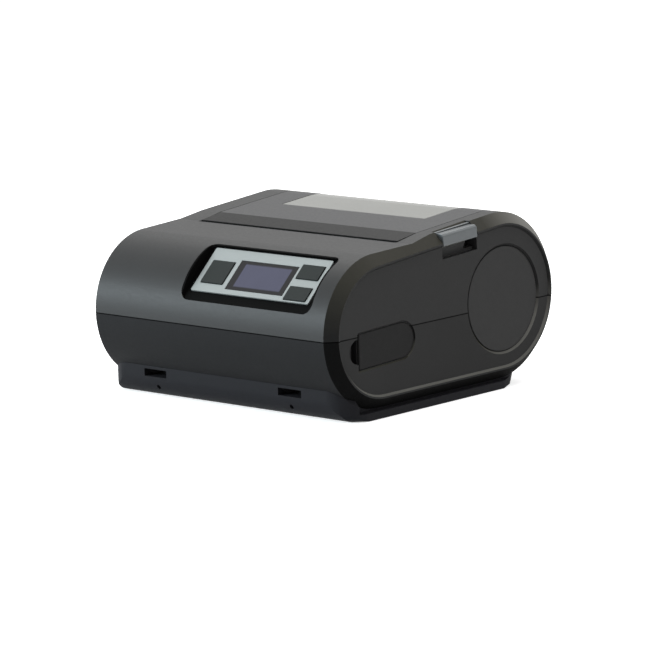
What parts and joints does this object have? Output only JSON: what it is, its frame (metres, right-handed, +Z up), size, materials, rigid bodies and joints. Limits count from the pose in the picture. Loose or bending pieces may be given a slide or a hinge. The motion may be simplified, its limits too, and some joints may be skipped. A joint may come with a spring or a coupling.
{
  "type": "portable receipt printer",
  "caption": "Handheld thermal receipt printer with a swing-up paper cover, tilted display and keys, side latch and rubber port cap.",
  "frame": {"origin": "centre of the footprint's bounding box at the underside of the feet", "axes": "+X to the printer's right, -Y is the front with the display, +Z up"},
  "size_m": [0.112, 0.116, 0.06],
  "materials": {
    "upper_shell": "satin",
    "lower_shell": "satin",
    "base_cover": "satin",
    "battery_door": "satin",
    "rubber_feet": "satin",
    "case_screws": "satin",
    "door_screws": "satin",
    "side_cover_right": "satin",
    "side_cover_left": "satin",
    "mech_frame": "satin",
    "mech_screws": "satin",
    "head_rod": "satin",
    "head_heatsink": "satin",
    "print_head": "satin",
    "head_springs": "satin",
    "head_ribbon": "satin",
    "feed_motor": "satin",
    "motor_screws": "satin",
    "roll_trough": "satin",
    "paper_sensor": "satin",
    "hinge_pin": "satin",
    "tear_bar": "satin",
    "main_board": "satin",
    "board_screws": "satin",
    "radio_module": "satin",
    "usb_socket": "satin",
    "charge_jack": "satin",
    "battery_pack": "satin",
    "battery_contacts": "satin",
    "display_bezel": "satin",
    "panel_frame": "satin",
    "display_glass": "satin",
    "display_module": "satin",
    "key_board": "satin",
    "key_switches": "satin",
    "latch_pin": "satin",
    "paper_cover": "satin",
    "cover_window": "satin",
    "cover_frame": "satin",
    "cover_screws": "satin",
    "platen_bushes": "satin",
    "lid_catch": "satin",
    "platen_shaft": "satin",
    "platen_rubber": "satin",
    "platen_gear": "satin",
    "feed_gear": "satin",
    "motor_pinion": "satin",
    "latch_lever": "satin",
    "key_left": "satin",
    "key_right_upper": "satin",
    "key_right_lower": "satin",
    "port_cap": "satin"
  },
  "bodies": {
    "case": {"upper_shell": "upper_shell", "lower_shell": "lower_shell", "base_cover": "base_cover", "battery_door": "battery_door", "rubber_feet": "rubber_feet", "case_screws": "case_screws", "door_screws": "door_screws", "side_cover_right": "side_cover_right", "side_cover_left": "side_cover_left", "mech_frame": "mech_frame", "mech_screws": "mech_screws", "head_rod": "head_rod", "head_heatsink": "head_heatsink", "print_head": "print_head", "head_springs": "head_springs", "head_ribbon": "head_ribbon", "feed_motor": "feed_motor", "motor_screws": "motor_screws", "roll_trough": "roll_trough", "paper_sensor": "paper_sensor", "hinge_pin": "hinge_pin", "tear_bar": "tear_bar", "main_board": "main_board", "board_screws": "board_screws", "radio_module": "radio_module", "usb_socket": "usb_socket", "charge_jack": "charge_jack", "battery_pack": "battery_pack", "battery_contacts": "battery_contacts", "display_bezel": "display_bezel", "panel_frame": "panel_frame", "display_glass": "display_glass", "display_module": "display_module", "key_board": "key_board", "key_switches": "key_switches", "latch_pin": "latch_pin"},
    "lid": {"paper_cover": "paper_cover", "cover_window": "cover_window", "cover_frame": "cover_frame", "cover_screws": "cover_screws", "platen_bushes": "platen_bushes", "lid_catch": "lid_catch"},
    "platen": {"platen_shaft": "platen_shaft", "platen_rubber": "platen_rubber", "platen_gear": "platen_gear"},
    "feed_idler": {"feed_gear": "feed_gear"},
    "pinion": {"motor_pinion": "motor_pinion"},
    "latch": {"latch_lever": "latch_lever"},
    "left_key": {"key_left": "key_left"},
    "upper_key": {"key_right_upper": "key_right_upper"},
    "lower_key": {"key_right_lower": "key_right_lower"},
    "cap": {"port_cap": "port_cap"}
  },
  "joints": [
    {"name": "cover_hinge", "type": "hinge", "parent": "case", "child": "lid", "pos_m": [0, 0.0556, 0.0302], "axis": [-1, 0, 0], "range_deg": [0, 95]},
    {"name": "platen_spin", "type": "hinge", "parent": "lid", "child": "platen", "pos_m": [0, -0.0092, 0.0478], "axis": [1, 0, 0], "continuous": true},
    {"name": "feed_gear_spin", "type": "hinge", "parent": "case", "child": "feed_idler", "pos_m": [-0.042, -0.0092, 0.03335], "axis": [1, 0, 0], "continuous": true},
    {"name": "pinion_spin", "type": "hinge", "parent": "case", "child": "pinion", "pos_m": [-0.042, -0.01815, 0.0244], "axis": [1, 0, 0], "continuous": true},
    {"name": "latch_lift", "type": "hinge", "parent": "case", "child": "latch", "pos_m": [0.0526, 0.00698, 0.0561], "axis": [0, -0.9981, -0.061], "range_deg": [0, 28], "stiffness_Nm_per_rad": 0.02, "springref_deg": -17.19},
    {"name": "left_key_press", "type": "slide", "parent": "case", "child": "left_key", "axis": [0, 0.682, -0.7314], "range_m": [0, 0.0004], "stiffness_N_per_m": 600, "springref_m": -0.0004},
    {"name": "upper_key_press", "type": "slide", "parent": "case", "child": "upper_key", "axis": [0, 0.682, -0.7314], "range_m": [0, 0.0004], "stiffness_N_per_m": 600, "springref_m": -0.0004},
    {"name": "lower_key_press", "type": "slide", "parent": "case", "child": "lower_key", "axis": [0, 0.682, -0.7314], "range_m": [0, 0.0004], "stiffness_N_per_m": 600, "springref_m": -0.0004},
    {"name": "cap_swing", "type": "hinge", "parent": "case", "child": "cap", "pos_m": [0.05505, -0.017, 0.0246], "axis": [0, 0, 1], "range_deg": [0, 110]}
  ],
  "couplings": [
    {"joint": "feed_gear_spin", "follows": "platen_spin", "ratio": -0.6},
    {"joint": "pinion_spin", "follows": "platen_spin", "ratio": 1.5}
  ]
}
